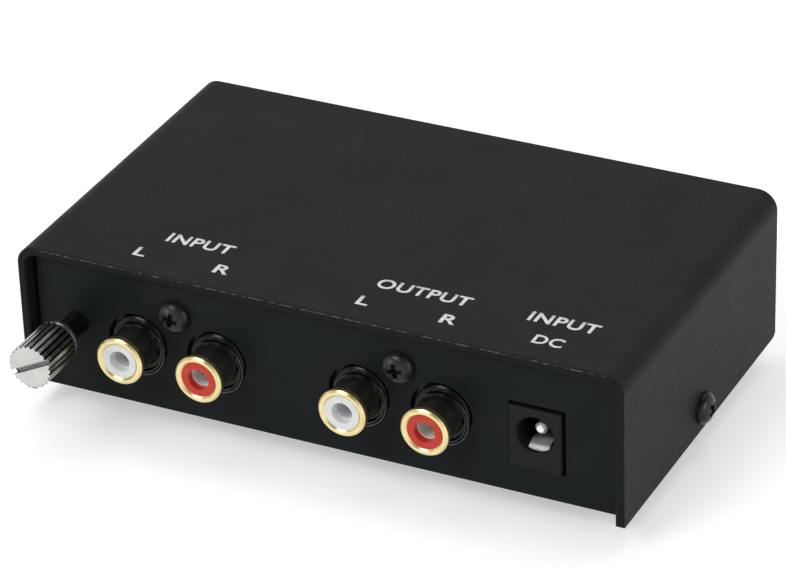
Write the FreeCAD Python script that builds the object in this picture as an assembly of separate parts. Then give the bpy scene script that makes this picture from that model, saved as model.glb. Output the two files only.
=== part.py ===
"""Phono preamplifier in a small steel box, in millimetres.

The connectors face -Y and +Z is up. The origin is on the surface that the feet
stand on, under the middle of the whole, thumbscrew included. A folded chassis
carries everything, and a U-shaped cover slides over it and is held by a screw
on each side. The functions work about the middle of the cover, and save moves
each finished piece back by origin_shift.
"""
import math
import os

import FreeCAD
import Part

V = FreeCAD.Vector

# Cover: a sheet folded to an upside-down U
cover_width = 107.0
cover_depth = 64.2
cover_height = 27.2
cover_sheet = 1.5
cover_bend = 3.4            # outer radius of the two long bends
cover_rear_corner = 1.5     # lower corners of the sides, at the back
cover_front_corner = 0.5    # lower corners of the sides, at the front
cover_edge = 0.25           # bevel on the cut edges of the sheet

# Chassis: a floor with a folded rear panel, and a folded connector panel on its front edge
chassis_sheet = 1.2
chassis_bend = 1.5          # outer bend radius
panel_foot = 3.0            # depth of the connector panel, with its folded edge
panel_recess = 2.2          # how far each panel stands inside the cover
panel_side_gap = 0.8        # panel edge to the cover's inner wall
panel_top_gap = 0.3         # panel edge to the cover's underside
panel_corner = 1.5          # upper corners of both panels
floor_rise = 0.8            # underside of the floor above the cover's lower edge
tab_length = 24.0           # side tabs that take the cover screws
tab_height = 9.0            # above the floor's underside
tab_gap = 0.05              # tab to the cover's inner wall

# Feet
foot_height = 4.6
foot_radius = 5.0
foot_x = 43.0
foot_y = 18.0

# Connector row
socket_height = 16.0        # socket axes above the surface
socket_pitch = 14.4         # left to right in a pair
input_x = -25.8             # middle of the input pair
output_x = 14.25            # middle of the output pair
socket_reach = 6.5          # front of a socket shell ahead of the panel
collar_hole_radius = 5.4    # hole in the panel round each socket
collar_radius = 4.85        # moulded collar inside that hole
collar_well_radius = 4.0    # opening in the collar round the shell
collar_well_depth = 1.4
collar_bevel = 0.25

# Socket shell, insulator and centre contact
shell_lip_radius = 4.15
shell_lip_length = 1.1
shell_radius = 3.75
shell_bore = 3.05
shell_lip_bevel = 0.3
shell_clearance = 0.03
insulator_setback = 0.25    # behind the front of the shell
insulator_gap = 0.02        # round the sleeve, inside and outside
insulator_hole = 1.85
contact_setback = 1.3       # behind the front of the insulator
contact_bore = 1.62
contact_wall = 0.3
contact_depth = 8.0
contact_rear = 1.6          # closed end behind the block
tail_width = 2.4
tail_sheet = 0.5

# Moulded block behind each pair of sockets
block_width = 25.6
block_flange = 2.4
block_height = 17.0
block_depth = 9.6
block_housing = 5.6         # half the width of the housing behind each socket
block_boss = 3.6            # half the width of the boss for the screw
screw_above_socket = 6.8

# Pan-head screws
screw_head_radius = 2.75
screw_head_height = 1.9
screw_shank_radius = 1.45
screw_hole_clearance = 0.05
screw_cover_clearance = 0.25
screw_crown = 0.7           # height of the head's straight side
screw_top_radius = 1.9
screw_slot_width = 0.75
screw_slot_length = 3.1
screw_slot_depth = 1.1
socket_screw_length = 9.0
cover_screw_length = 4.0
screw_turns = {"input": -12.0, "output": 10.0, "cover": 35.0}     # degrees
cover_screw_height = 7.8    # above the surface
cover_screw_y = 0.0

# Supply jack
jack_x = 37.7
jack_width = 9.0
jack_height = 11.0
jack_length = 14.0
jack_proud = 0.45           # ahead of the panel
jack_axis_height = 6.4      # above the circuit board
jack_bore = 3.2
jack_bore_depth = 10.0
jack_edge = 0.3
jack_mouth = 0.25           # bevel round the bore
jack_rear_step = (3.0, 2.0)
jack_tail = 0.6             # behind the housing
jack_cut_left = 0.1         # cut-out beyond the jack on each side
jack_cut_right = 0.6
jack_cut_top = 0.7
jack_cut_bottom = 0.1
jack_cut_corner = 0.3
jack_pin_radius = 1.0
jack_pin_point = 0.6        # bevel at the tip, and its smaller radius
jack_pin_clearance = 0.02
jack_pin_setback = 2.15     # tip behind the jack's face
leaf_width = 3.4
leaf_sheet = 0.3
leaf_side_gap = 0.15
leaf_front_gap = 0.4
leaf_pocket_depth = 1.5     # below the bore
leaf_front = 1.3            # front end behind the jack's face
leaf_crest = 3.4            # highest point behind the jack's face
leaf_rise = 0.85            # crest above the bottom of the bore
leaf_front_drop = 0.75      # front end below the crest
leaf_root_drop = 1.35       # root below the crest
leaf_root_gap = 0.1
leaf_front_bow = 0.2         # middle of the front slope below the crest
leaf_back_bow = 0.4          # middle of the back slope below the crest

# Ground terminal
ground_x = -44.2
ground_height = 17.4
ground_reach = 15.5         # front face ahead of the panel
knurl_radius = 3.75
knurl_length = 8.8
flute_count = 24
flute_depth = 0.34
flute_crest = 0.55          # flat crest as a share of the flutes' spacing
head_rim_radius = 3.45      # plain rim at the back of the head
head_rim_length = 0.4
thumb_slot_width = 0.95
thumb_slot_depth = 1.1
thumb_slot_turn = 26.8      # degrees, as it stands at rest
thread_radius = 2.0
thread_length = 11.8        # behind the head
thread_clearance = 0.05
washer_radius = 3.55
washer_thickness = 0.5
washer_gap = 0.05
nut_flats = 7.0
nut_length = 3.2
lug_sheet = 0.4
lug_half = 3.6
lug_tail_width = 2.6
lug_tail_end = 12.0         # above the surface
wire_radius = 0.7

# Circuit board and its parts
board_thickness = 1.6
board_margin = 0.4          # board edge to the panels
board_side = 49.0
board_screw_x = 43.0
board_screw_front = -8.0
board_screw_rear = 25.0
spacer_flats = 5.5
board_screw_flats = 5.0
board_screw_head = 1.7

# Parts on the board: width, depth, height and places about the board's middle
channel_x = (-23.0, 1.0)
filter_can = (5.0, 12.5)
filter_places = ((33.0, -4.0), (33.0, 9.0))
supply_size = (5.0, 8.0, 9.0)
supply_places = ((20.0, -6.0), (20.0, 8.0))
film_size = (3.0, 7.2, 6.5)
film_offsets = (-6.5, -1.5, 3.5, 8.5)
film_y = 15.6
coupling_size = (4.0, 7.0, 9.0)
coupling_offsets = (-4.0, 4.0)
coupling_y = -12.0
chip_size = (9.8, 6.4, 3.3)
chip_y = 3.5
chip_standoff = 0.6
leg_pitch = 2.54
leg_size = (1.2, 0.85, 2.3)
resistor_size = (1.8, 3.6, 0.9)
resistor_offsets = (-8.0, -4.0, 0.0, 4.0, 8.0)
resistor_y = -4.5
resistor_cap = 0.5
diode_size = (5.0, 3.0, 2.2)
diode_places = tuple((44.0, y) for y in (3.0, 8.0, 13.0, 18.0))
diode_leg = (1.2, 1.6, 0.4)
regulator_size = (4.8, 3.8, 4.6)
regulator_lift = 3.0
regulator_places = ((30.0, 18.0), (30.0, 25.0))
regulator_leg = 0.5

# Places that follow from the sizes above
board_top = socket_height - jack_axis_height
board_bottom = board_top - board_thickness
floor_bottom = foot_height
floor_top = floor_bottom + chassis_sheet
cover_bottom = floor_bottom - floor_rise
cover_top = cover_bottom + cover_height
half_width = cover_width / 2
half_depth = cover_depth / 2
inner_x = half_width - cover_sheet
panel_front = -half_depth + panel_recess
panel_back = panel_front + chassis_sheet
panel_x = inner_x - panel_side_gap
panel_top = cover_top - cover_sheet - panel_top_gap
rear_inside = -panel_back
block_screw_height = socket_height + screw_above_socket
jack_front = panel_front - jack_proud
jack_back = jack_front + jack_length
jack_top = board_top + jack_height
leaf_pivot_y = jack_front + jack_bore_depth
leaf_crest_z = socket_height - jack_bore + leaf_rise
head_rear = panel_front - ground_reach + knurl_length
floor_front = panel_front + panel_foot
origin_shift = (ground_reach - panel_recess) / 2
channels = {"left": -socket_pitch / 2, "right": socket_pitch / 2}
pairs = {"input": input_x, "output": output_x}


def block(x0, x1, y0, y1, z0, z1):
    """A box between two corners."""
    return Part.makeBox(x1 - x0, y1 - y0, z1 - z0, V(x0, y0, z0))


def rod(radius, length, place, axis):
    """A cylinder that starts at place and runs along axis."""
    return Part.makeCylinder(radius, length, V(*place), V(*axis))


def outline(start, steps):
    """A closed wire. A step is a point for a line, or a mid point and an end for an arc."""
    edges = []
    here = V(*start)
    for step in steps:
        if isinstance(step[0], tuple):
            middle, end = V(*step[0]), V(*step[1])
            edges.append(Part.Arc(here, middle, end).toShape())
        else:
            end = V(*step)
            edges.append(Part.LineSegment(here, end).toShape())
        here = end
    if here.distanceToPoint(V(*start)) > 1e-6:
        edges.append(Part.LineSegment(here, V(*start)).toShape())
    return Part.Wire(edges)


def lathe(profile, place, axis):
    """Turns (radius, distance) points about an axis that leaves place along axis."""
    points = [V(radius, 0, along) for radius, along in profile]
    face = Part.Face(Part.makePolygon(points + [points[0]]))
    solid = face.revolve(V(0, 0, 0), V(0, 0, 1), 360)
    solid.Placement = FreeCAD.Placement(V(*place), FreeCAD.Rotation(V(0, 0, 1), V(*axis)))
    return solid


def rounded_plate(x0, x1, z0, z1, radius, y0, y1):
    """A plate across Y whose four corners are rounded."""
    plate = block(x0, x1, y0, y1, z0, z1)
    corners = [e for e in plate.Edges if abs(e.Vertexes[0].Y - e.Vertexes[1].Y) > 1e-6]
    return plate.makeFillet(radius, corners)


def fused(shapes):
    """One solid out of several that share faces or overlap."""
    return shapes[0].fuse(list(shapes[1:])).removeSplitter()


def folded_strip(inner, sheet, radius, y0, y1):
    """An upside-down U across X, folded from sheet, between y0 and y1."""
    half, bottom, top = inner
    corner = radius - radius / math.sqrt(2)
    thin = radius - sheet
    thin_corner = thin - thin / math.sqrt(2)
    low, high = half - sheet, top - sheet
    wire = outline((-half, y0, bottom), [
        (-half, y0, top - radius),
        ((-half + corner, y0, top - corner), (-half + radius, y0, top)),
        (half - radius, y0, top),
        ((half - corner, y0, top - corner), (half, y0, top - radius)),
        (half, y0, bottom), (low, y0, bottom), (low, y0, high - thin),
        ((low - thin_corner, y0, high - thin_corner), (low - thin, y0, high)),
        (-low + thin, y0, high),
        ((-low + thin_corner, y0, high - thin_corner), (-low, y0, high - thin)),
        (-low, y0, bottom)])
    return Part.Face(wire).extrude(V(0, y1 - y0, 0))


def lower_corner(y, radius):
    """What rounding both lower corners of the cover's sides at one end takes away."""
    into = -math.copysign(radius, y)
    low, high = sorted((y, y + into))
    piece = block(-cover_width, cover_width, low, high, cover_bottom, cover_bottom + radius)
    return piece.cut(rod(radius, 2 * cover_width, (-cover_width, y + into,
                                                   cover_bottom + radius), (1, 0, 0)))


def make_cover():
    cover = folded_strip((half_width, cover_bottom, cover_top), cover_sheet, cover_bend,
                         -half_depth, half_depth)
    rim = [e for e in cover.Edges
           if abs(abs(e.Vertexes[0].Y) - half_depth) < 1e-6
           and abs(e.Vertexes[0].Y - e.Vertexes[1].Y) < 1e-6
           and max(v.Z for v in e.Vertexes) > cover_bottom + 1]
    cover = cover.makeChamfer(cover_edge, rim)
    hole = rod(screw_shank_radius + screw_cover_clearance, 2 * cover_width,
               (-cover_width, cover_screw_y, cover_screw_height), (1, 0, 0))
    return cover.cut([hole, lower_corner(-half_depth, cover_front_corner),
                      lower_corner(half_depth, cover_rear_corner)])


def corner_profile(upright, end, into):
    """A folded corner seen from the side: up at y = upright, along the floor to y = end.

    into is 1 where the floor runs towards +Y and -1 where it runs the other way.
    """
    outer, inner = chassis_bend, chassis_bend - chassis_sheet
    turn = 1 - 1 / math.sqrt(2)
    x = -panel_x
    face = upright + into * chassis_sheet
    return outline((x, upright, panel_top), [
        (x, upright, floor_bottom + outer),
        ((x, upright + into * turn * outer, floor_bottom + turn * outer),
         (x, upright + into * outer, floor_bottom)),
        (x, end, floor_bottom), (x, end, floor_top),
        (x, face + into * inner, floor_top),
        ((x, face + into * turn * inner, floor_top + turn * inner),
         (x, face, floor_top + inner)),
        (x, face, panel_top)])


def side_tab(side):
    """A tab folded up from the floor's edge, against the cover's wall."""
    outer, inner = chassis_bend, chassis_bend - chassis_sheet
    turn = 1 - 1 / math.sqrt(2)
    face = inner_x - tab_gap
    top = floor_bottom + tab_height
    y = cover_screw_y - tab_length / 2
    root = face - 2 * chassis_bend
    wire = outline((side * root, y, floor_bottom), [
        (side * (face - outer), y, floor_bottom),
        ((side * (face - turn * outer), y, floor_bottom + turn * outer),
         (side * face, y, floor_bottom + outer)),
        (side * face, y, top), (side * (face - chassis_sheet), y, top),
        (side * (face - chassis_sheet), y, floor_top + inner),
        ((side * (face - chassis_sheet - turn * inner), y, floor_top + turn * inner),
         (side * (face - chassis_sheet - inner), y, floor_top)),
        (side * root, y, floor_top)])
    return Part.Face(wire).extrude(V(0, tab_length, 0))


def folded_corner(upright, end, into):
    """A sheet folded along X, with the upper corners of its upright rounded."""
    sheet = Part.Face(corner_profile(upright, end, into)).extrude(V(2 * panel_x, 0, 0))
    return sheet.common(rounded_plate(-panel_x, panel_x, -panel_top, panel_top, panel_corner,
                                      -half_depth, half_depth))


def make_chassis():
    """Floor, rear panel and the side tabs that the cover is screwed to."""
    body = fused([folded_corner(-panel_front, floor_front, -1), side_tab(-1), side_tab(1)])
    return body.cut(rod(screw_shank_radius + screw_hole_clearance, 2 * cover_width,
                        (-cover_width, cover_screw_y, cover_screw_height), (1, 0, 0)))


def make_connector_panel():
    """Panel with the openings for sockets, screws, jack and ground screw."""
    start = panel_front - chassis_sheet
    through = 3 * chassis_sheet
    cuts = []
    for middle in pairs.values():
        for offset in channels.values():
            cuts.append(rod(collar_hole_radius, through, (middle + offset, start, socket_height),
                            (0, 1, 0)))
        cuts.append(rod(screw_shank_radius + screw_cover_clearance, through,
                        (middle, start, block_screw_height), (0, 1, 0)))
    cuts.append(rod(thread_radius + thread_clearance, through,
                    (ground_x, start, ground_height), (0, 1, 0)))
    cuts.append(rounded_plate(jack_x - jack_width / 2 - jack_cut_left,
                              jack_x + jack_width / 2 + jack_cut_right,
                              board_top - jack_cut_bottom, jack_top + jack_cut_top,
                              jack_cut_corner, start, start + through))
    return folded_corner(panel_front, floor_front, 1).cut(cuts)


def board_screw_places():
    return [(side * board_screw_x, y) for side in (-1, 1)
            for y in (board_screw_front, board_screw_rear)]


def pan_screw(length, place, axis, turn):
    """A cross-slot screw. Its head stands on place and its shank runs along -axis."""
    head = lathe([(0, 0), (screw_head_radius, 0), (screw_head_radius, screw_crown),
                  (screw_top_radius, screw_head_height), (0, screw_head_height)],
                 (0, 0, 0), (0, 0, 1))
    for angle in (turn, turn + 90):
        slot = block(-screw_slot_length / 2, screw_slot_length / 2,
                     -screw_slot_width / 2, screw_slot_width / 2,
                     screw_head_height - screw_slot_depth, 2 * screw_head_height)
        slot.rotate(V(0, 0, 0), V(0, 0, 1), angle)
        head = head.cut(slot)
    screw = fused([head, rod(screw_shank_radius, length, (0, 0, 0), (0, 0, -1))])
    screw.Placement = FreeCAD.Placement(V(*place), FreeCAD.Rotation(V(0, 0, 1), V(*axis)))
    return screw


def make_socket_screws():
    return [pan_screw(socket_screw_length, (middle, panel_front, block_screw_height),
                      (0, -1, 0), screw_turns[pair]) for pair, middle in pairs.items()]


def make_cover_screws():
    return [pan_screw(cover_screw_length,
                      (side * half_width, cover_screw_y, cover_screw_height), (side, 0, 0),
                      screw_turns["cover"]) for side in (-1, 1)]


def hexagon(flats, length, place, axis):
    """A six-sided bar that starts at place and runs along axis."""
    corner = flats / math.sqrt(3)
    points = [V(corner * math.cos(math.radians(60 * n)), corner * math.sin(math.radians(60 * n)), 0)
              for n in range(7)]
    bar = Part.Face(Part.makePolygon(points)).extrude(V(0, 0, length))
    bar.Placement = FreeCAD.Placement(V(*place), FreeCAD.Rotation(V(0, 0, 1), V(*axis)))
    return bar


def make_board_screws():
    return [hexagon(board_screw_flats, board_screw_head, (x, y, board_top), (0, 0, 1))
            for x, y in board_screw_places()]


def make_spacers():
    return [hexagon(spacer_flats, board_bottom - floor_top, (x, y, floor_top), (0, 0, 1))
            for x, y in board_screw_places()]


def make_feet():
    return [rod(foot_radius, foot_height, (x, y, 0), (0, 0, 1))
            for x in (-foot_x, foot_x) for y in (-foot_y, foot_y)]


def make_socket_block(middle):
    """The moulding behind the panel that holds a pair of sockets."""
    back = panel_back + block_depth
    flange = block(middle - block_width / 2, middle + block_width / 2, panel_back,
                   panel_back + block_flange, board_top, board_top + block_height)
    boss = block(middle - block_boss, middle + block_boss, panel_back, back,
                 socket_height, board_top + block_height)
    parts = [flange, boss]
    face = chassis_sheet
    for offset in channels.values():
        x = middle + offset
        parts.append(block(x - block_housing, x + block_housing, panel_back, back,
                           board_top, socket_height + block_housing))
        parts.append(lathe([(0, 0), (collar_radius, 0), (collar_radius, face - collar_bevel),
                            (collar_radius - collar_bevel, face), (0, face)],
                           (x, panel_back, socket_height), (0, -1, 0)))
    cuts = [rod(screw_shank_radius + screw_hole_clearance, 2 * block_depth,
                (middle, panel_front, block_screw_height), (0, 1, 0))]
    for offset in channels.values():
        place = (middle + offset, panel_front, socket_height)
        cuts.append(rod(shell_radius + shell_clearance, 2 * block_depth, place, (0, 1, 0)))
        cuts.append(rod(collar_well_radius, collar_well_depth, place, (0, 1, 0)))
    return fused(parts).cut(cuts)


def make_shell(x):
    """Plated outer contact: a lipped tube with a solder tail behind the block."""
    front = panel_front - socket_reach
    back = panel_back + block_depth
    end = back - front + tail_sheet
    c = shell_lip_bevel
    tube = lathe([(shell_bore, c), (shell_bore + c, 0), (shell_lip_radius - c, 0),
                  (shell_lip_radius, c), (shell_lip_radius, shell_lip_length),
                  (shell_radius, shell_lip_length), (shell_radius, end), (shell_bore, end)],
                 (x, front, socket_height), (0, 1, 0))
    tail = block(x - tail_width / 2, x + tail_width / 2, back, back + tail_sheet,
                 board_top, socket_height - (shell_bore + shell_radius) / 2)
    return fused([tube, tail])


def make_insulator(x):
    """The plastic sleeve between shell and centre contact, open to the front."""
    front = panel_front - socket_reach + insulator_setback
    length = panel_back + block_depth - front
    seat = contact_bore + contact_wall + insulator_gap
    rim = shell_bore - insulator_gap
    return lathe([(insulator_hole, 0), (rim, 0), (rim, length), (seat, length),
                  (seat, contact_setback), (insulator_hole, contact_setback)],
                 (x, front, socket_height), (0, 1, 0))


def make_contact(x):
    """Centre contact: a tube for the plug's pin, with a tail down to the board."""
    front = panel_front - socket_reach + insulator_setback + contact_setback
    end = panel_back + block_depth + contact_rear
    outer = contact_bore + contact_wall
    tube = rod(outer, end - front, (x, front, socket_height), (0, 1, 0))
    tail = block(x - tail_sheet, x + tail_sheet, end - tail_sheet, end, board_top, socket_height)
    return fused([tube, tail]).cut(rod(contact_bore, contact_depth, (x, front, socket_height),
                                       (0, 1, 0)))


def make_jack_housing():
    """Moulded supply jack with a round bore and a pocket for its leaf contact."""
    left, right = jack_x - jack_width / 2, jack_x + jack_width / 2
    centre = (jack_x, jack_front, socket_height)
    body = block(left, right, jack_front, jack_back, board_top, jack_top)
    edges = [e for e in body.Edges if all(abs(v.Y - jack_front) < 1e-6 for v in e.Vertexes)]
    body = body.makeChamfer(jack_edge, edges)
    half = leaf_width / 2 + leaf_side_gap
    step_length, step_height = jack_rear_step
    return body.cut([
        rod(jack_bore, jack_bore_depth, centre, (0, 1, 0)),
        Part.makeCone(jack_bore + jack_mouth, jack_bore, jack_mouth, V(*centre), V(0, 1, 0)),
        block(jack_x - half, jack_x + half, jack_front + leaf_front - leaf_front_gap,
              leaf_pivot_y, socket_height - jack_bore - leaf_pocket_depth, socket_height),
        rod(jack_pin_radius + jack_pin_clearance, jack_length, centre, (0, 1, 0)),
        block(left, right, jack_back - step_length, jack_back, jack_top - step_height, jack_top)])


def make_jack_pin():
    """Centre pin with a bevelled tip and a tail behind the jack."""
    tip = jack_front + jack_pin_setback
    length = jack_back + jack_tail - tip
    r = jack_pin_radius
    pin = lathe([(0, 0), (jack_pin_point * r, 0), (r, (1 - jack_pin_point) * r), (r, length),
                 (0, length)], (jack_x, tip, socket_height), (0, 1, 0))
    tail = block(jack_x - tail_width / 2, jack_x + tail_width / 2, jack_back,
                 jack_back + jack_tail, board_top, socket_height + r)
    return fused([pin, tail])


def make_leaf():
    """Sprung sleeve contact: a strip that bows up into the bore from its root."""
    front = jack_front + leaf_front
    crest = jack_front + leaf_crest
    root = leaf_pivot_y - leaf_root_gap
    top = leaf_crest_z
    mid = (front + crest) / 2
    back_mid = (crest + root) / 2
    t = leaf_sheet
    x = jack_x - leaf_width / 2
    wire = outline((x, front, top - leaf_front_drop), [
        ((x, mid, top - leaf_front_bow), (x, crest, top)),
        ((x, back_mid, top - leaf_back_bow), (x, root, top - leaf_root_drop)),
        (x, root, top - leaf_root_drop - t),
        ((x, back_mid, top - leaf_back_bow - t), (x, crest, top - t)),
        ((x, mid, top - leaf_front_bow - t), (x, front, top - leaf_front_drop - t))])
    return Part.Face(wire).extrude(V(leaf_width, 0, 0))


def knurled_bar(length):
    """A bar with straight flutes, made from one repeated tooth."""
    spacing = 2 * math.pi / flute_count
    root = knurl_radius - flute_depth
    points = []
    for number in range(flute_count):
        for share, radius in ((-flute_crest / 2, knurl_radius), (flute_crest / 2, knurl_radius),
                              (0.5, root)):
            angle = (number + share) * spacing
            points.append(V(radius * math.cos(angle), radius * math.sin(angle), 0))
    return Part.Face(Part.makePolygon(points + [points[0]])).extrude(V(0, 0, length))


def make_thumbscrew():
    """Fluted thumbscrew with a screwdriver slot, on a threaded shank."""
    along = (0, 0, 1)
    rim_start = knurl_length - head_rim_length
    slot = block(-2 * knurl_radius, 2 * knurl_radius, -thumb_slot_width / 2,
                 thumb_slot_width / 2, 0, thumb_slot_depth)
    slot.rotate(V(0, 0, 0), V(0, 0, 1), -thumb_slot_turn)
    head = knurled_bar(rim_start).cut(slot)
    rim = rod(head_rim_radius, head_rim_length, (0, 0, rim_start), along)
    shank = rod(thread_radius, thread_length, (0, 0, knurl_length), along)
    screw = fused([head, rim, shank])
    screw.Placement = FreeCAD.Placement(V(ground_x, panel_front - ground_reach, ground_height),
                                        FreeCAD.Rotation(V(1, 0, 0), -90))
    return screw


def make_washer():
    """Captive washer behind the thumbscrew's head."""
    y = head_rear + washer_gap
    ring = rod(washer_radius, washer_thickness, (ground_x, y, ground_height), (0, 1, 0))
    return ring.cut(rod(thread_radius + thread_clearance, washer_thickness,
                        (ground_x, y, ground_height), (0, 1, 0)))


def make_ground_nut():
    """Hexagon nut behind the lug."""
    along = (0, 1, 0)
    y = panel_back + lug_sheet
    return hexagon(nut_flats, nut_length, (ground_x, y, ground_height), along).cut(
        rod(thread_radius + thread_clearance, nut_length, (ground_x, y, ground_height), along))


def make_lug():
    """Solder lug between the panel and the nut, with its tail towards the board."""
    y = panel_back
    plate = block(ground_x - lug_half, ground_x + lug_half, y, y + lug_sheet,
                  ground_height - lug_half, ground_height + lug_half)
    tail = block(ground_x - lug_tail_width / 2, ground_x + lug_tail_width / 2, y,
                 y + lug_sheet, lug_tail_end - lug_tail_width, ground_height)
    return fused([plate, tail]).cut(rod(thread_radius + thread_clearance, lug_sheet,
                                        (ground_x, y, ground_height), (0, 1, 0)))


def make_ground_wire():
    """Short wire from the lug's tail down to the board."""
    y = panel_back + lug_sheet + wire_radius
    return rod(wire_radius, lug_tail_end - board_top, (ground_x, y, board_top), (0, 0, 1))


def make_board():
    return block(-board_side, board_side, panel_back + board_margin,
                 rear_inside - board_margin, board_bottom, board_top)


def standing(size, x, y, lift=0.0):
    """A block of that width, depth and height, centred on x and y above the board."""
    width, depth, height = size
    return block(x - width / 2, x + width / 2, y - depth / 2, y + depth / 2,
                 board_top + lift, board_top + lift + height)


def make_filter_capacitors():
    """Electrolytic cans that stand on the board."""
    radius, height = filter_can
    return [rod(radius, height, (x, y, board_top), (0, 0, 1)) for x, y in filter_places]


def make_supply_capacitors():
    return [standing(supply_size, x, y) for x, y in supply_places]


def make_coupling_capacitors():
    return [standing(coupling_size, x + offset, coupling_y)
            for x in channel_x for offset in coupling_offsets]


def make_equaliser_capacitors():
    """Moulded film capacitors in a row behind each amplifier."""
    return [standing(film_size, x + offset, film_y)
            for x in channel_x for offset in film_offsets]


def make_op_amps():
    """Eight-pin packages on their legs."""
    depth = chip_size[1]
    packages = []
    for x in channel_x:
        legs = [standing(leg_size, x + (number - 1.5) * leg_pitch,
                         chip_y + side * (depth + leg_size[1]) / 2)
                for number in range(4) for side in (-1, 1)]
        packages.append(fused([standing(chip_size, x, chip_y, chip_standoff)] + legs))
    return packages


def make_resistors():
    """Chip resistors with a raised metal cap at each end."""
    width, length, height = resistor_size
    chips = []
    for x in channel_x:
        for offset in resistor_offsets:
            body = standing(resistor_size, x + offset, resistor_y)
            caps = [standing((width, resistor_cap, height + resistor_cap / 4), x + offset,
                             resistor_y + side * (length - resistor_cap) / 2)
                    for side in (-1, 1)]
            chips.append(fused([body] + caps))
    return chips


def make_diodes():
    """Flat-leaded rectifier diodes."""
    body_width = diode_size[0]
    diodes = []
    for x, y in diode_places:
        legs = [standing(diode_leg, x + side * (body_width + diode_leg[0]) / 2, y)
                for side in (-1, 1)]
        diodes.append(fused([standing(diode_size, x, y)] + legs))
    return diodes


def make_regulators():
    """Small regulators on three legs."""
    leg = (regulator_leg, regulator_leg, regulator_lift)
    return [fused([standing(regulator_size, x, y, regulator_lift)]
                  + [standing(leg, x + n * leg_pitch / 2, y) for n in (-1, 0, 1)])
            for x, y in regulator_places]


def save(name, shapes):
    solids = shapes if isinstance(shapes, list) else [shapes]
    shape = solids[0] if len(solids) == 1 else Part.makeCompound(solids)
    shape.translate(V(0, origin_shift, 0))
    shape.exportStep("parts/%s.step" % name)
    print(name, len(shape.Solids), "solid(s), valid:", shape.isValid())


def main():
    os.makedirs("parts", exist_ok=True)
    save("top_cover", make_cover())
    save("chassis", make_chassis())
    save("connector_panel", make_connector_panel())
    save("cover_screws", make_cover_screws())
    save("socket_screws", make_socket_screws())
    save("rubber_feet", make_feet())
    for pair, middle in pairs.items():
        save(pair + "_socket_block", make_socket_block(middle))
        for channel, offset in channels.items():
            name = "%s_%s_" % (pair, channel)
            save(name + "shell", make_shell(middle + offset))
            save(name + "insulator", make_insulator(middle + offset))
            save(name + "contact", make_contact(middle + offset))
    save("dc_jack_housing", make_jack_housing())
    save("dc_jack_pin", make_jack_pin())
    save("dc_jack_leaf", make_leaf())
    save("ground_thumbscrew", make_thumbscrew())
    save("ground_washer", make_washer())
    save("ground_nut", make_ground_nut())
    save("ground_lug", make_lug())
    save("ground_wire", make_ground_wire())
    save("circuit_board", make_board())
    save("board_spacers", make_spacers())
    save("board_screws", make_board_screws())
    save("filter_capacitors", make_filter_capacitors())
    save("supply_capacitors", make_supply_capacitors())
    save("coupling_capacitors", make_coupling_capacitors())
    save("equaliser_capacitors", make_equaliser_capacitors())
    save("op_amps", make_op_amps())
    save("resistors", make_resistors())
    save("rectifier_diodes", make_diodes())
    save("voltage_regulators", make_regulators())


main()
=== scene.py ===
"""Looks of a phono preamplifier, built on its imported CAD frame. Sizes are in metres."""
import math

import bmesh
import bpy
from mathutils import Matrix, Vector


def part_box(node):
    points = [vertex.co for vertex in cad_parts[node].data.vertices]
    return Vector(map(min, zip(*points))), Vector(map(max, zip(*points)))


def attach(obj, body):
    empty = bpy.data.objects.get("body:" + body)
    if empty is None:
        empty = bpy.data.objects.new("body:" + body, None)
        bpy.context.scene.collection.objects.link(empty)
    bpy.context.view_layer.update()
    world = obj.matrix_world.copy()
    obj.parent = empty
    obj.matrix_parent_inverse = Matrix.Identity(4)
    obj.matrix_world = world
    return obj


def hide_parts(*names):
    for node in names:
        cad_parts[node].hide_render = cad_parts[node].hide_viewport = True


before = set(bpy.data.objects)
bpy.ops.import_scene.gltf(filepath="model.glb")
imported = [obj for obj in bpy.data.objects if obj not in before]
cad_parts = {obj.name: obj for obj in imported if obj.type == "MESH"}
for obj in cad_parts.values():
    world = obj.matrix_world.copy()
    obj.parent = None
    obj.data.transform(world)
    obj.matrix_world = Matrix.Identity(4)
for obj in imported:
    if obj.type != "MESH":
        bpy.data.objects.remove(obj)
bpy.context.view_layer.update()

MM = 0.001

# The photograph's view, found from the box's edges and the sockets
IMAGE_WIDTH = 786
FOCAL_PIXELS = 4108.07
SENSOR = 36.0
VIEW_AZIMUTH = math.radians(27.030)
VIEW_ELEVATION = math.radians(30.163)
VIEW_ROLL = math.radians(-2.047)
VIEW_DISTANCE = 676.847 * MM
VIEW_TARGET = Vector((-1.574, 6.65, 16.442)) * MM

# Printed lettering on the cover, placed from its front edge
WORD_ROW = 12.0 * MM
LETTER_ROW = 5.95 * MM
WORD_HEIGHT = 2.85 * MM
LETTER_HEIGHT = 2.7 * MM
SUPPLY_LETTER_HEIGHT = 2.65 * MM
WORD_STRETCH = 1.03
LETTER_STRETCH = 1.25
WORD_SPACING = 1.08
INK_WEIGHT = 0.024
INK_THICKNESS = 0.02 * MM

LEFT_LETTER_SHIFT = -0.45 * MM
SUPPLY_LABEL_SHIFT = 0.7 * MM

# Band behind the cover's front edge, coloured darker and bluer as painted shade, as if the edge were
# rounded
FRONT_EDGE_SHADE = 0.9 * MM

# Raised rings on the collars: radius and thickness of each
COLLAR_RINGS = ((4.63 * MM, 0.17 * MM), (4.17 * MM, 0.13 * MM))
COLLAR_RING_SINK = 0.02 * MM

# Lower fold of the connector panel
FOLD_SIZE = 1.55 * MM
FOLD_DROP = 0.10 * MM
FOLD_SKIN = 0.01 * MM
FOLD_EDGE = 0.2 * MM

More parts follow.
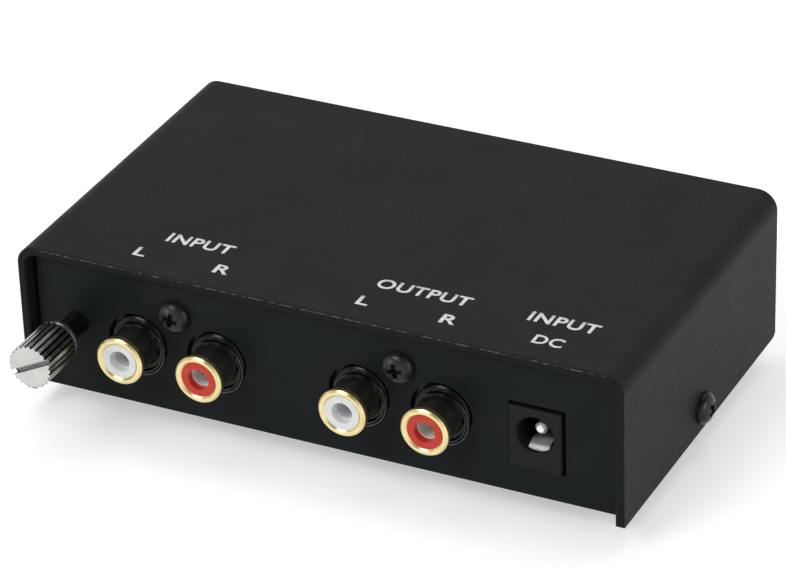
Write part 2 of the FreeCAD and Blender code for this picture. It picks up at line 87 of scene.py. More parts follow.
# Domed screws with a cross recess
SCREW_RADIUS = 2.75 * MM
SCREW_RIM = 0.3 * MM
SCREW_HEIGHT = 1.9 * MM
SCREW_SHANK = 1.45 * MM
RECESS_LENGTH = 3.5 * MM
RECESS_WIDTH = 1.15 * MM
RECESS_DEPTH = 1.2 * MM
RECESS_TAPER = 0.6
COVER_SCREW_SHANK = 4.0 * MM
SOCKET_SCREW_TURNS = (-12, 10)
COVER_SCREW_TURN = 35


def corners_of(node):
    """Lowest and highest corner of a node's box, as vectors."""
    return tuple(Vector(corner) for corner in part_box(node))


def box_middle(node):
    low, high = corners_of(node)
    return (low + high) / 2


def linked(name, data):
    """New object in the scene."""
    item = bpy.data.objects.new(name, data)
    bpy.context.scene.collection.objects.link(item)
    return item


def mesh_data(name, mesh):
    """Mesh data from a bmesh, which is freed."""
    data = bpy.data.meshes.new(name)
    mesh.to_mesh(data)
    mesh.free()
    return data


class Surface:
    """A Principled material whose inputs are fed by procedural textures."""

    def __init__(self, name):
        self.material = bpy.data.materials.new(name)
        self.material.use_nodes = True
        self.nodes = self.material.node_tree.nodes
        self.links = self.material.node_tree.links
        self.shader = self.nodes["Principled BSDF"]
        self.place = self.nodes.new("ShaderNodeTexCoord").outputs["Object"]
        self.height = None

    def moved(self, origin):
        """Object coordinates measured from origin."""
        mapping = self.nodes.new("ShaderNodeMapping")
        mapping.vector_type = "TEXTURE"
        mapping.inputs["Location"].default_value = origin
        self.links.new(self.place, mapping.inputs["Vector"])
        return mapping.outputs["Vector"]

    def offsets(self, origin):
        """X, Y and Z outputs, measured from origin."""
        node = self.nodes.new("ShaderNodeSeparateXYZ")
        self.links.new(self.moved(origin), node.inputs[0])
        return node.outputs

    def noise(self, size, detail):
        """Noise whose grains are about size across."""
        node = self.nodes.new("ShaderNodeTexNoise")
        node.inputs["Scale"].default_value = 1.0 / size
        node.inputs["Detail"].default_value = detail
        self.links.new(self.place, node.inputs["Vector"])
        return node.outputs["Fac"]

    def cells(self, size):
        """Distance to the nearest of points that lie about size apart."""
        node = self.nodes.new("ShaderNodeTexVoronoi")
        node.inputs["Scale"].default_value = 1.0 / size
        self.links.new(self.place, node.inputs["Vector"])
        return node.outputs["Distance"]

    def bands(self, spacing, direction, place=None, rings=False):
        """Stripes spacing apart along a direction, or rings about it."""
        node = self.nodes.new("ShaderNodeTexWave")
        node.wave_type = "RINGS" if rings else "BANDS"
        if rings:
            node.rings_direction = direction
        else:
            node.bands_direction = direction
        node.inputs["Scale"].default_value = math.pi / (10 * spacing)
        self.links.new(place or self.place, node.inputs["Vector"])
        return node.outputs["Fac"]

    def math(self, operation, first, second=None):
        """Output of a maths node fed by numbers or sockets."""
        node = self.nodes.new("ShaderNodeMath")
        node.operation = operation
        for socket, value in zip(node.inputs, (first, second)):
            if isinstance(value, (int, float)):
                socket.default_value = value
            elif value is not None:
                self.links.new(value, socket)
        return node.outputs[0]

    def radius(self, axis_point):
        """Distance from a line along Y through axis_point."""
        parts = self.offsets(axis_point)
        squares = [self.math("MULTIPLY", parts[n], parts[n]) for n in (0, 2)]
        return self.math("SQRT", self.math("ADD", *squares))

    def span(self, source, low, high, out_low=0.0, out_high=1.0):
        """Maps source from low..high to out_low..out_high."""
        node = self.nodes.new("ShaderNodeMapRange")
        node.inputs["From Min"].default_value = low
        node.inputs["From Max"].default_value = high
        node.inputs["To Min"].default_value = out_low
        node.inputs["To Max"].default_value = out_high
        self.links.new(source, node.inputs["Value"])
        return node.outputs["Result"]

    def colour(self, source, stops):
        """Base colour from source through a list of (position, colour)."""
        self.links.new(self.ramp(source, stops), self.shader.inputs["Base Color"])

    def ramp(self, source, stops):
        """Colour output from source through a list of (position, colour)."""
        node = self.nodes.new("ShaderNodeValToRGB")
        elements = node.color_ramp.elements
        for element, (position, colour) in zip(elements, (stops[0], stops[-1])):
            element.position = position
            element.color = (*colour, 1)
        for position, colour in stops[1:-1]:
            element = elements.new(position)
            element.color = (*colour, 1)
        self.links.new(source, node.inputs["Fac"])
        return node.outputs["Color"]

    def mixed(self, factor, first, second):
        """Base colour that goes from first to second with factor."""
        node = self.nodes.new("ShaderNodeMix")
        node.data_type = "RGBA"
        self.links.new(factor, node.inputs["Factor"])
        for socket, colour in ((node.inputs["A"], first), (node.inputs["B"], second)):
            if isinstance(colour, tuple):
                socket.default_value = (*colour, 1)
            else:
                self.links.new(colour, socket)
        self.links.new(node.outputs["Result"], self.shader.inputs["Base Color"])
        return node.outputs["Result"]

    def rough(self, source, low, high):
        """Roughness between low and high."""
        self.links.new(self.span(source, 0.3, 0.7, low, high), self.shader.inputs["Roughness"])

    def bump(self, source, depth, strength=1.0):
        """Adds relief depth high."""
        node = self.nodes.new("ShaderNodeBump")
        node.inputs["Distance"].default_value = depth
        node.inputs["Strength"].default_value = strength
        self.links.new(source, node.inputs["Height"])
        if self.height is not None:
            self.links.new(self.height, node.inputs["Normal"])
        self.height = node.outputs["Normal"]
        self.links.new(self.height, self.shader.inputs["Normal"])

    def set(self, **values):
        """Sets inputs of the shader that are the same all over."""
        for name, value in values.items():
            socket = name.replace("_", " ").title().replace("Ior", "IOR")
            self.shader.inputs[socket].default_value = value


def cover_paint():
    """Fine-textured satin powder coat, with painted shade and a painted highlight along the front
    edge.
    """
    paint = Surface("cover_paint")
    cloud = paint.noise(9 * MM, 4)
    grain = paint.noise(0.32 * MM, 2)
    coat = paint.ramp(cloud, [(0.3, (0.0088, 0.0118, 0.0092)), (0.7, (0.0122, 0.0158, 0.0128))])
    low, high = corners_of("top_cover")
    behind, above = paint.offsets((0, low.y, high.z))[1:3]
    # Painted shade: the front edge and a band behind it are coloured darker and bluer, as if the
    # edge were rounded.
    rim = paint.span(behind, FRONT_EDGE_SHADE * 0.4, FRONT_EDGE_SHADE, 1, 0)
    coat = paint.mixed(rim, coat, (0.0080, 0.0102, 0.0106))
    # Painted highlight: a thin pale line, broken into dashes, along the top of the cover's front
    # edge, for light glinting on the cut edge.
    edge_glint = paint.span(behind, 0.04 * MM, 0.10 * MM, 1, 0)
    edge_glint = paint.math("MULTIPLY", edge_glint, paint.span(above, -0.28 * MM, -0.22 * MM))
    dashes = paint.span(paint.noise(0.8 * MM, 3), 0.47, 0.61, 0.04, 1.0)
    paint.mixed(paint.math("MULTIPLY", edge_glint, dashes), coat, (0.15, 0.147, 0.125))
    paint.rough(grain, 0.42, 0.58)
    paint.set(specular_ior_level=0.075)
    paint.bump(grain, 0.030 * MM, 0.55)
    paint.bump(paint.noise(1.1 * MM, 2), 0.03 * MM, 0.25)
    return paint.material


def chassis_paint():
    """Smoother satin coat on the chassis."""
    paint = Surface("chassis_paint")
    paint.colour(paint.noise(7 * MM, 4), [(0.3, (0.0075, 0.0100, 0.0104)),
                                          (0.7, (0.0100, 0.0125, 0.0129))])
    paint.set(specular_ior_level=0.07)
    grain = paint.noise(0.28 * MM, 2)
    paint.rough(grain, 0.34, 0.48)
    paint.bump(grain, 0.02 * MM, 0.4)
    return paint.material


def blackened_steel():
    """Blackened screws with an uneven polish."""
    steel = Surface("black_screw")
    steel.colour(steel.noise(1.4 * MM, 3), [(0.3, (0.013, 0.014, 0.014)),
                                            (0.7, (0.021, 0.022, 0.022))])
    steel.rough(steel.noise(0.8 * MM, 3), 0.24, 0.34)
    steel.bump(steel.noise(0.3 * MM, 2), 0.006 * MM, 0.3)
    steel.set(metallic=0.25, specular_ior_level=0.3)
    return steel.material


def moulded_black(name, low, high, gloss, relief, sheen):
    """Moulded plastic from low to high in colour."""
    plastic = Surface(name)
    plastic.colour(plastic.noise(2.5 * MM, 4), [(0.3, low), (0.7, high)])
    grain = plastic.noise(0.22 * MM, 2)
    plastic.rough(grain, gloss, gloss + 0.12)
    plastic.bump(grain, relief, 0.5)
    plastic.set(specular_ior_level=sheen)
    return plastic.material


def rubber():
    """Dull rubber with fine pits."""
    sole = Surface("rubber")
    sole.colour(sole.noise(1.4 * MM, 4), [(0.3, (0.010, 0.010, 0.010)),
                                          (0.7, (0.022, 0.022, 0.021))])
    pits = sole.cells(0.35 * MM)
    sole.rough(pits, 0.72, 0.88)
    sole.bump(pits, 0.03 * MM, 0.5)
    return sole.material


def contact_plate():
    """Dull silvery plating inside the sockets."""
    silver = Surface("contact_plate")
    silver.colour(silver.noise(1.1 * MM, 3), [(0.3, (0.80, 0.81, 0.80)),
                                              (0.7, (0.88, 0.89, 0.87))])
    silver.rough(silver.noise(0.5 * MM, 3), 0.40, 0.52)
    silver.bump(silver.noise(0.25 * MM, 2), 0.006 * MM, 0.5)
    silver.set(metallic=0.2)
    return silver.material


def shell_plate():
    """Gold on the turned lip, black nickel on the barrel behind it."""
    lip = 1.1 * MM
    plate = Surface("shell_plate")
    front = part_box("input_left_shell")[0][1]
    depth = plate.offsets((0, front, 0))[1]
    barrel = plate.span(depth, lip, lip + 0.08 * MM)
    gold = plate.ramp(plate.noise(1.6 * MM, 3), [(0.3, (0.74, 0.60, 0.28)),
                                                 (0.7, (0.82, 0.70, 0.39))])
    plate.mixed(barrel, gold, (0.27, 0.26, 0.24))
    plate.rough(plate.noise(0.7 * MM, 3), 0.26, 0.36)
    plate.bump(plate.noise(0.3 * MM, 2), 0.004 * MM, 0.5)
    plate.set(metallic=1.0)
    return plate.material


def nickel_plate(name, tint=(0.66, 0.65, 0.62), metallic=1.0):
    """Nickel with small stains and fine marks."""
    nickel = Surface(name)
    bright = tuple(min(1.0, part * 1.18) for part in tint)
    nickel.colour(nickel.noise(1.5 * MM, 4), [(0.3, tint), (0.7, bright)])
    nickel.rough(nickel.noise(0.6 * MM, 3), 0.20, 0.34)
    nickel.bump(nickel.noise(0.2 * MM, 2), 0.005 * MM, 0.5)
    nickel.set(metallic=metallic)
    return nickel.material


def leaf_metal():
    """Sprung contact, with a painted highlight at its front end."""
    strip = Surface("leaf_metal")
    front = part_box("dc_jack_leaf")[0][1]
    depth = strip.offsets((0, front, 0))[1]
    # Painted highlight: the first half millimetre of the strip is coloured near white.
    front_glint = strip.span(depth, 0.42 * MM, 0.75 * MM, 1, 0)
    dull = strip.ramp(strip.noise(1.2 * MM, 3), [(0.3, (0.26, 0.27, 0.27)),
                                                 (0.7, (0.38, 0.39, 0.38))])
    strip.mixed(front_glint, dull, (0.97, 0.97, 0.96))
    strip.rough(strip.noise(0.6 * MM, 3), 0.20, 0.30)
    strip.set(metallic=0.1)
    return strip.material


def thumbscrew_metal():
    """Bright face and rear rim, painted shade in the flutes and the slot with painted highlights
    along the ridges, a painted dark reflection on the shank, and a rolled thread.
    """
    thread_pitch = 0.7 * MM
    shank_limit = 2.15 * MM
    slot_depth = 1.12 * MM
    rim_start = 8.38 * MM
    metal = Surface("thumbscrew_metal")
    axis = box_middle("ground_thumbscrew")
    centred = metal.moved(axis)
    radius = metal.radius(axis)
    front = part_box("ground_thumbscrew")[0][1]
    depth = metal.offsets((0, front, 0))[1]
    outer = metal.math("MAXIMUM", metal.span(radius, 3.30 * MM, 3.36 * MM),
                       metal.span(depth, slot_depth, slot_depth * 1.05))
    side = metal.math("MULTIPLY", outer, metal.span(depth, 0.02 * MM, 0.06 * MM))
    bright = metal.ramp(metal.noise(2.2 * MM, 3), [(0.3, (0.50, 0.51, 0.49)),
                                                   (0.7, (0.57, 0.58, 0.56))])
    # Painted shade: the slot's walls and floor are coloured darker than the face.
    slot = metal.span(depth, 0.05 * MM, 0.15 * MM)
    face = metal.mixed(slot, bright, (0.21, 0.215, 0.21))
    # Painted shade and highlights: the flute valleys are coloured near black and the ridges pale,
    # for reflections of the dark surroundings and of the light.
    flute_painted_light = metal.ramp(metal.span(radius, 3.46 * MM, 3.72 * MM),
                        [(0.0, (0.012, 0.012, 0.012)), (0.6, (0.06, 0.06, 0.06)),
                         (1.0, (0.42, 0.42, 0.41))])
    shade = metal.mixed(side, face, flute_painted_light)
    rim = metal.span(depth, rim_start, rim_start + 0.05 * MM)
    shade = metal.mixed(rim, shade, (0.50, 0.50, 0.48))
    # Painted reflection: the shank is coloured dark, for the dark surroundings it mirrors. The same
    # mask carries the thread relief.
    on_shank = metal.span(radius, shank_limit, shank_limit * 1.02, 1, 0)
    on_shank = metal.math("MULTIPLY", on_shank, side)
    metal.mixed(on_shank, shade, (0.14, 0.14, 0.135))
    metal.rough(metal.noise(1.5 * MM, 2), 0.22, 0.28)
    rings = metal.bands(0.16 * MM, "Y", centred, rings=True)
    metal.bump(rings, 0.004 * MM, 0.3)
    thread = metal.math("MULTIPLY", metal.bands(thread_pitch, "Y", centred), on_shank)
    metal.bump(thread, 0.06 * MM, 0.4)
    metal.set(metallic=1.0)
    return metal.material


def socket_plastic(name, low, high):
    """Glossy coloured insulator."""
    plastic = Surface(name)
    plastic.colour(plastic.noise(1.3 * MM, 3), [(0.3, low), (0.7, high)])
    plastic.rough(plastic.noise(0.5 * MM, 2), 0.26, 0.38)
    plastic.bump(plastic.noise(0.4 * MM, 2), 0.01 * MM, 0.3)
    plastic.set(subsurface_weight=0.12, subsurface_scale=0.6 * MM, specular_ior_level=0.35)
    return plastic.material


def wire_sleeve():
    """Soft PVC over a stranded wire."""
    sleeve = Surface("wire_sleeve")
    sleeve.colour(sleeve.noise(1.5 * MM, 3), [(0.3, (0.010, 0.010, 0.010)),
                                              (0.7, (0.024, 0.024, 0.023))])
    twist = sleeve.bands(0.9 * MM, "DIAGONAL")
    sleeve.rough(twist, 0.42, 0.56)
    sleeve.bump(twist, 0.02 * MM, 0.5)
    return sleeve.material


def solder_mask():
    """Green mask over copper, with the copper's edges showing as faint lines."""
    board = Surface("board")
    copper = board.nodes.new("ShaderNodeTexBrick")
    copper.inputs["Scale"].default_value = 1.0 / (12 * MM)
    copper.inputs["Mortar Size"].default_value = 0.05
    copper.inputs["Color1"].default_value = (0.010, 0.085, 0.035, 1)
    copper.inputs["Color2"].default_value = (0.014, 0.105, 0.045, 1)
    copper.inputs["Mortar"].default_value = (0.004, 0.045, 0.020, 1)
    board.links.new(board.place, copper.inputs["Vector"])
    board.links.new(copper.outputs["Color"], board.shader.inputs["Base Color"])
    board.rough(board.noise(0.8 * MM, 3), 0.24, 0.36)
    board.bump(copper.outputs["Fac"], 0.03 * MM, 0.4)
    return board.material


def can_sleeve():
    """Dark shrink sleeve with a pale stripe down one side and an unpainted metal lid."""
    low, high = corners_of("filter_capacitors")
    sleeve = Surface("capacitor_sleeve")
    height = sleeve.offsets(low)[2]
    stripe = sleeve.span(sleeve.bands(10 * MM, "X"), 0.93, 0.96)
    body = sleeve.mixed(stripe, (0.010, 0.013, 0.045), (0.42, 0.44, 0.46))
    lid = sleeve.span(height, (high - low).z - 0.05 * MM, (high - low).z)
    sleeve.mixed(lid, body, (0.62, 0.63, 0.64))
    sleeve.rough(sleeve.noise(0.6 * MM, 3), 0.28, 0.42)
    sleeve.bump(sleeve.noise(1.0 * MM, 2), 0.02 * MM, 0.3)
    return sleeve.material


def dipped(name, low, high):
    """Dipped or lacquered coat on small electronic parts."""
    coat = Surface(name)
    coat.colour(coat.noise(1.2 * MM, 3), [(0.3, low), (0.7, high)])
    coat.rough(coat.noise(0.5 * MM, 2), 0.28, 0.42)
    coat.bump(coat.noise(0.8 * MM, 2), 0.03 * MM, 0.4)
    return coat.material


def resistor_coat():
    """Blue lacquer with coloured rings along the body."""
    coat = Surface("resistor_coat")
    rings = coat.bands(1.3 * MM, "X")
    coat.colour(rings, [(0.0, (0.10, 0.26, 0.36)), (0.78, (0.13, 0.30, 0.40)),
                        (0.80, (0.22, 0.08, 0.03)), (1.0, (0.25, 0.09, 0.03))])
    coat.rough(coat.noise(0.4 * MM, 2), 0.22, 0.34)
    coat.bump(coat.noise(0.9 * MM, 2), 0.02 * MM, 0.4)
    return coat.material


def label_ink():
    """Screen-printed white, slightly uneven."""
    ink = Surface("label_ink")
    ink.colour(ink.noise(0.5 * MM, 3), [(0.3, (0.52, 0.53, 0.53)), (0.7, (0.66, 0.67, 0.66))])
    grain = ink.noise(0.3 * MM, 2)
    ink.rough(grain, 0.42, 0.58)
    ink.bump(grain, 0.01 * MM, 0.5)
    return ink.material


def dress_nodes():
    """Gives every CAD node its material."""
    looks = {
        "cover": cover_paint(), "chassis": chassis_paint(), "screw": blackened_steel(),
        "rubber": rubber(), "shell": shell_plate(), "contact": contact_plate(),
        "nickel": nickel_plate("nickel"),
        "thumbscrew": thumbscrew_metal(),
        "tinned": nickel_plate("tinned", (0.55, 0.54, 0.50)),
        "socket": moulded_black("socket_plastic", (0.0032, 0.0034, 0.0034),
                                (0.0048, 0.0050, 0.0050), 0.16, 0.004 * MM, 0.2),
        "jack": moulded_black("jack_plastic", (0.0090, 0.0115, 0.0112),
                              (0.0115, 0.0140, 0.0137), 0.40, 0.02 * MM, 0.1),
        "left": socket_plastic("white_plastic", (0.72, 0.76, 0.76), (0.80, 0.83, 0.82)),
        "right": socket_plastic("red_plastic", (0.50, 0.026, 0.011), (0.60, 0.040, 0.018)),
        "jack_metal": nickel_plate("jack_metal", (0.84, 0.85, 0.85), 0.5),
        "leaf": leaf_metal(),
        "wire": wire_sleeve(), "board": solder_mask(), "can": can_sleeve(),
        "film": dipped("film_case", (0.30, 0.035, 0.015), (0.38, 0.05, 0.02)),
        "chip": dipped("chip_case", (0.012, 0.012, 0.012), (0.022, 0.022, 0.022)),
        "resistor": resistor_coat()}
    plan = {
        "cover": ["top_cover"], "chassis": ["chassis", "connector_panel"],
        "screw": ["cover_screws", "socket_screws"], "rubber": ["rubber_feet"],
        "socket": ["input_socket_block", "output_socket_block"], "jack": ["dc_jack_housing"],
        "thumbscrew": ["ground_thumbscrew"],
        "jack_metal": ["dc_jack_pin"], "leaf": ["dc_jack_leaf"],
        "nickel": ["ground_washer", "ground_nut", "board_spacers", "board_screws"],
        "tinned": ["ground_lug"], "wire": ["ground_wire"], "board": ["circuit_board"],
        "can": ["filter_capacitors", "supply_capacitors", "coupling_capacitors"],
        "film": ["equaliser_capacitors"], "resistor": ["resistors"],
        "chip": ["op_amps", "rectifier_diodes", "voltage_regulators"],
        "shell": [], "contact": [], "left": [], "right": []}
    for pair in ("input", "output"):
        for channel in ("left", "right"):
            stem = "%s_%s_" % (pair, channel)
            plan["shell"].append(stem + "shell")
            plan["contact"].append(stem + "contact")
            plan[channel].append(stem + "insulator")
    for look, names in plan.items():
        for name in names:
            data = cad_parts[name].data
            data.materials.clear()
            data.materials.append(looks[look])


def turned_mesh(name, profile, segments=72):
    """Mesh of a profile of (radius, z) points turned about Z. Both ends lie on the axis."""
    mesh = bmesh.new()
    rings = []
    for radius, z in profile:
        if radius == 0:
            rings.append([mesh.verts.new((0, 0, z))] * segments)
            continue
        angles = [2 * math.pi * n / segments for n in range(segments)]
        rings.append([mesh.verts.new((radius * math.cos(a), radius * math.sin(a), z))
                      for a in angles])
    for low, high in zip(rings, rings[1:]):
        for n in range(segments):
            corners = (low[n], low[n - 1], high[n - 1], high[n])
            mesh.faces.new(list(dict.fromkeys(corners)))
    bmesh.ops.recalc_face_normals(mesh, faces=mesh.faces)
    return mesh_data(name, mesh)


def cross_mesh(name):
    """Tapered cross that cuts the recess. It points down from above the head."""
    half, arm = RECESS_WIDTH / 2, RECESS_LENGTH / 2
    outline = []
    for quarter in range(4):
        turn = Matrix.Rotation(math.pi / 2 * quarter, 2)
        outline += [turn @ Vector(point) for point in ((arm, -half), (arm, half), (half, half))]
    mesh = bmesh.new()
    levels = ((SCREW_HEIGHT - RECESS_DEPTH, RECESS_TAPER), (2 * SCREW_HEIGHT, 1.0))
    low, high = ([mesh.verts.new((size * x, size * y, z)) for x, y in outline]
                 for z, size in levels)
    mesh.faces.new(low)
    mesh.faces.new(high)
    for n in range(len(outline)):
        mesh.faces.new((low[n - 1], low[n], high[n], high[n - 1]))
    bmesh.ops.recalc_face_normals(mesh, faces=mesh.faces)
    return mesh_data(name, mesh)


def domed_screw(length):
    """Mesh of a screw whose domed head stands on z = 0, with the shank below."""
    steps = 18
    profile = [(0, -length), (SCREW_SHANK, -length), (SCREW_SHANK, 0), (SCREW_RADIUS, 0)]
    for step in range(steps + 1):
        angle = math.pi / 2 * step / steps
        height = SCREW_RIM + (SCREW_HEIGHT - SCREW_RIM) * math.sin(angle)
        profile.append((SCREW_RADIUS * math.cos(angle) if step < steps else 0, height))
    screw = linked("screw", turned_mesh("screw", profile))
    cutter = linked("recess", cross_mesh("recess"))
    cut = screw.modifiers.new("recess", "BOOLEAN")
    cut.operation = "DIFFERENCE"
    cut.object = cutter
    ready = screw.evaluated_get(bpy.context.evaluated_depsgraph_get())
    mesh = bpy.data.meshes.new_from_object(ready)
    bpy.data.objects.remove(screw)
    bpy.data.objects.remove(cutter)
    return mesh


def socket_screw_places():
    """Place, facing and turn of the two screws in the connector panel."""
    low, high = corners_of("socket_screws")
    forward = Matrix.Rotation(math.pi / 2, 4, "X")
    middles = (low.x + SCREW_RADIUS, high.x - SCREW_RADIUS)
    return [(Vector((x, low.y + SCREW_HEIGHT, (low.z + high.z) / 2)), forward, turn)
            for x, turn in zip(middles, SOCKET_SCREW_TURNS)]


def cover_screw_places():
    """Place, facing and turn of the screws in the cover's sides."""
    low, high = corners_of("cover_screws")
    y, z = (low.y + high.y) / 2, (low.z + high.z) / 2
    return [(Vector((edge - side * SCREW_HEIGHT, y, z)),
             Matrix.Rotation(side * math.pi / 2, 4, "Y"), COVER_SCREW_TURN)
            for edge, side in ((low.x, -1), (high.x, 1))]


def make_screws():
    """Replaces the plain screws by domed ones, on the same places."""
    material = blackened_steel()
    low, high = corners_of("socket_screws")
    groups = {"socket_screws": (socket_screw_places(), high.y - low.y - SCREW_HEIGHT),
              "cover_screws": (cover_screw_places(), COVER_SCREW_SHANK)}
    for node, (places, length) in groups.items():
        joined = bmesh.new()
        for place, facing, turn in places:
            mesh = domed_screw(length)
            spin = Matrix.Rotation(math.radians(turn), 4, "Z")
            mesh.transform(Matrix.Translation(place) @ facing @ spin)
            joined.from_mesh(mesh)
        data = mesh_data("domed_" + node, joined)
        data.shade_smooth()
        data.set_sharp_from_angle(angle=math.radians(32))
        data.materials.append(material)
        piece = linked("domed_" + node, data)
        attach(piece, "box")
        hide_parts(node)


def make_lower_fold():
    """Tight lower fold of the connector panel, over the wider one of the frame."""
    low, high = corners_of("connector_panel")
    size = Vector((high.x - low.x, FOLD_SIZE, FOLD_SIZE + FOLD_DROP))
    corner = Vector((low.x, low.y - FOLD_SKIN, low.z - FOLD_DROP))
    mesh = bmesh.new()
    bmesh.ops.create_cube(mesh, size=1, matrix=Matrix.Translation(corner + size / 2)
                          @ Matrix.Diagonal((*size, 1)))
    data = mesh_data("panel_lower_fold", mesh)
    data.materials.append(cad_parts["connector_panel"].data.materials[0])
    fold = linked("panel_lower_fold", data)
    soft = fold.modifiers.new("edge", "BEVEL")
    soft.width = FOLD_EDGE
    soft.segments = 3
    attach(fold, "box")


def ring_mesh(centre, radius, thickness, turns=96, sides=16):
    """Ring of round section about a line along Y through centre."""
    mesh = bmesh.new()
    circles = []
    for turn in range(turns):
        around = 2 * math.pi * turn / turns
        circle = []
        for side in range(sides):
            angle = 2 * math.pi * side / sides
            reach = radius + thickness * math.cos(angle)
            offset = Vector((reach * math.cos(around), thickness * math.sin(angle),
                             reach * math.sin(around)))
            circle.append(mesh.verts.new(centre + offset))
        circles.append(circle)
    for turn in range(turns):
        here, before = circles[turn], circles[turn - 1]
        for side in range(sides):
            mesh.faces.new((here[side], here[side - 1], before[side - 1], before[side]))
    bmesh.ops.recalc_face_normals(mesh, faces=mesh.faces)
    data = mesh_data("ring", mesh)
    data.shade_smooth()
    return data


def make_collar_rings():
    """Two raised glossy rings on each socket's collar."""
    gloss = moulded_black("collar_gloss", (0.0045, 0.0047, 0.0047),
                          (0.0065, 0.0067, 0.0067), 0.10, 0.003 * MM, 0.5)
    for pair in ("input", "output"):
        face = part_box(pair + "_socket_block")[0][1]
        for channel in ("left", "right"):
            stem = "%s_%s" % (pair, channel)
            centre = box_middle(stem + "_shell")
            centre.y = face + COLLAR_RING_SINK
            for number, (radius, thickness) in enumerate(COLLAR_RINGS):
                data = ring_mesh(centre, radius, thickness)
                data.materials.append(gloss)
                ring = linked("%s_collar_ring_%d" % (stem, number + 1), data)
                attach(ring, "box")


def printed_word(name, text, x, y, height, ink, stretch=1.0):
    """Flat capitals on the cover's top, centred on x and y."""
    curve = bpy.data.curves.new(name, "FONT")
    curve.body = text
    curve.align_x = "CENTER"
    curve.align_y = "CENTER"
    curve.offset = INK_WEIGHT
    curve.space_character = WORD_SPACING
    word = linked(name, curve)
    bpy.context.view_layer.update()
    mesh = bpy.data.meshes.new_from_object(word)
    bpy.data.objects.remove(word)
    xs = [v.co.x for v in mesh.vertices]
    ys = [v.co.y for v in mesh.vertices]
    size = height / (max(ys) - min(ys))
    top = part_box("top_cover")[1][2]
    centre = Vector(((max(xs) + min(xs)) / 2, (max(ys) + min(ys)) / 2, 0))
    mesh.transform(Matrix.Translation((x, y, top + INK_THICKNESS / 2))
                   @ Matrix.Diagonal((size * stretch, size, 1, 1))
                   @ Matrix.Translation(-centre))
    piece = linked(name, mesh)
    solid = piece.modifiers.new("ink", "SOLIDIFY")
    solid.thickness = INK_THICKNESS
    solid.offset = 0
    mesh.materials.append(ink)
    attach(piece, "box")


def print_labels():
    """Generic labels of the connectors, in rows behind the cover's front edge."""
    ink = label_ink()
    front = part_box("top_cover")[0][1]
    words, letters = front + WORD_ROW, front + LETTER_ROW
    for pair, text in (("input", "INPUT"), ("output", "OUTPUT")):
        left, right = (box_middle("%s_%s_shell" % (pair, side)).x for side in ("left", "right"))
        printed_word("label_%s" % pair, text, (left + right) / 2, words, WORD_HEIGHT, ink,
                     WORD_STRETCH)
        printed_word("label_%s_left" % pair, "L", left + LEFT_LETTER_SHIFT, letters, LETTER_HEIGHT,
                     ink, LETTER_STRETCH)
        printed_word("label_%s_right" % pair, "R", right, letters, LETTER_HEIGHT, ink,
                     LETTER_STRETCH)
    jack = box_middle("dc_jack_housing").x + SUPPLY_LABEL_SHIFT
    printed_word("label_supply", "INPUT", jack, words, WORD_HEIGHT, ink, WORD_STRETCH)
    printed_word("label_supply_dc", "DC", jack, letters, SUPPLY_LETTER_HEIGHT, ink)


def floor_material():
    """Pale floor that the camera and reflections see as white, with the shadow kept."""
    surface = Surface("studio_floor")
    surface.colour(surface.noise(0.4, 2), [(0.3, (0.62, 0.62, 0.62)), (0.7, (0.64, 0.64, 0.64))])
    surface.rough(surface.noise(0.05, 2), 0.75, 0.85)
    path = surface.nodes.new("ShaderNodeLightPath")
    seen = surface.math("MAXIMUM", path.outputs["Is Camera Ray"], path.outputs["Is Glossy Ray"])
    surface.shader.inputs["Emission Color"].default_value = (1, 1, 1, 1)
    surface.links.new(surface.math("MULTIPLY", seen, 0.45),
                      surface.shader.inputs["Emission Strength"])
    return surface.material


def make_stage():
    """Floor that sweeps up into a backdrop behind the object."""
    half_width, near, far, height, sweep, steps = 1.6, -1.6, 1.3, 1.2, 0.5, 16
    profile = [(near, 0.0)]
    for number in range(steps + 1):
        angle = math.pi / 2 * number / steps
        profile.append((far - sweep + sweep * math.sin(angle), sweep - sweep * math.cos(angle)))
    profile.append((far, height))
    mesh = bmesh.new()
    rows = [[mesh.verts.new((x, y, z)) for x in (-half_width, half_width)] for y, z in profile]
    for low, high in zip(rows, rows[1:]):
        mesh.faces.new((low[0], low[1], high[1], high[0])).smooth = True
    data = mesh_data("studio_floor", mesh)
    data.materials.append(floor_material())
    stage = linked("studio_floor", data)


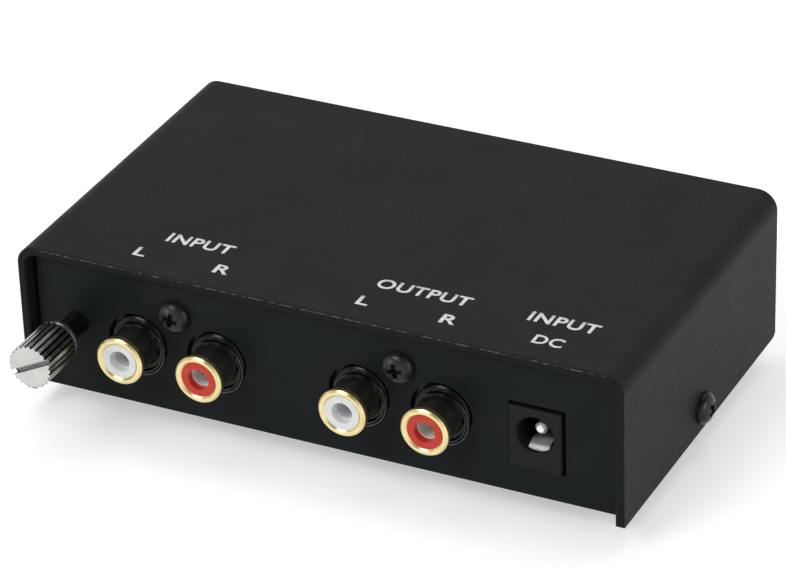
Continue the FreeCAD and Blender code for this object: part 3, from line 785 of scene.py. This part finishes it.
def make_world():
    """Even light, white to the camera and darker overhead in reflections."""
    world = bpy.data.worlds.new("studio")
    bpy.context.scene.world = world
    world.use_nodes = True
    nodes, links = world.node_tree.nodes, world.node_tree.links
    background = nodes["Background"]
    background.inputs["Color"].default_value = (1, 1, 1, 1)
    path = nodes.new("ShaderNodeLightPath")
    direction = nodes.new("ShaderNodeSeparateXYZ")
    links.new(nodes.new("ShaderNodeTexCoord").outputs["Generated"], direction.inputs[0])
    reflected = nodes.new("ShaderNodeMapRange")
    reflected.inputs["From Min"].default_value = 0.30
    reflected.inputs["From Max"].default_value = 0.75
    reflected.inputs["To Min"].default_value = 0.9
    reflected.inputs["To Max"].default_value = 0.10
    links.new(direction.outputs[2], reflected.inputs["Value"])
    level = nodes.new("ShaderNodeMix")
    level.inputs["A"].default_value = 0.45
    links.new(path.outputs["Is Glossy Ray"], level.inputs["Factor"])
    links.new(reflected.outputs["Result"], level.inputs["B"])
    strength = nodes.new("ShaderNodeMix")
    strength.inputs["B"].default_value = 1.0
    links.new(path.outputs["Is Camera Ray"], strength.inputs["Factor"])
    links.new(level.outputs["Result"], strength.inputs["A"])
    links.new(strength.outputs["Result"], background.inputs["Strength"])


def area_light(name, place, target, size, power, colour=(1, 1, 1)):
    """Rectangular soft lamp that faces target."""
    light = bpy.data.lights.new(name, "AREA")
    light.shape = "RECTANGLE"
    light.size, light.size_y = size
    light.energy = power
    light.color = colour
    lamp = linked(name, light)
    lamp.location = place
    lamp.rotation_euler = (Vector(target) - Vector(place)).to_track_quat("-Z", "Y").to_euler()


def make_lights():
    """Four lamps. The one at the right is warm, as in the photograph."""
    middle = (0, 0, 0.015)
    area_light("overhead", (-0.15, 0.25, 0.9), middle, (0.9, 0.7), 4.2)
    area_light("right_side", (0.9, -0.15, 0.30), middle, (0.5, 0.4), 2.9, (1.0, 0.98, 0.84))
    area_light("front_fill", (-0.36, -0.72, 0.80), middle, (0.5, 0.35), 4.2)
    area_light("low_left", (-0.75, -0.85, 0.20), middle, (0.4, 0.25), 1.8)


def make_camera():
    """The photograph's camera: back points from the object to it."""
    azimuth, elevation, roll = VIEW_AZIMUTH, VIEW_ELEVATION, VIEW_ROLL
    back = Vector((math.sin(azimuth) * math.cos(elevation),
                   -math.cos(azimuth) * math.cos(elevation), math.sin(elevation)))
    level = Vector((math.cos(azimuth), math.sin(azimuth), 0))
    upright = back.cross(level)
    right = math.cos(roll) * level + math.sin(roll) * upright
    up = math.cos(roll) * upright - math.sin(roll) * level
    data = bpy.data.cameras.new("camera")
    data.sensor_width = SENSOR
    data.lens = FOCAL_PIXELS / IMAGE_WIDTH * SENSOR
    data.clip_start = 0.01
    camera = linked("camera", data)
    place = VIEW_TARGET + back * VIEW_DISTANCE
    camera.matrix_world = Matrix.Translation(place) @ Matrix((right, up, back)).transposed().to_4x4()
    bpy.context.scene.camera = camera


dress_nodes()
make_screws()
make_lower_fold()
make_collar_rings()
print_labels()
make_stage()
make_world()
make_lights()
make_camera()
bpy.context.scene.view_settings.view_transform = "Standard"
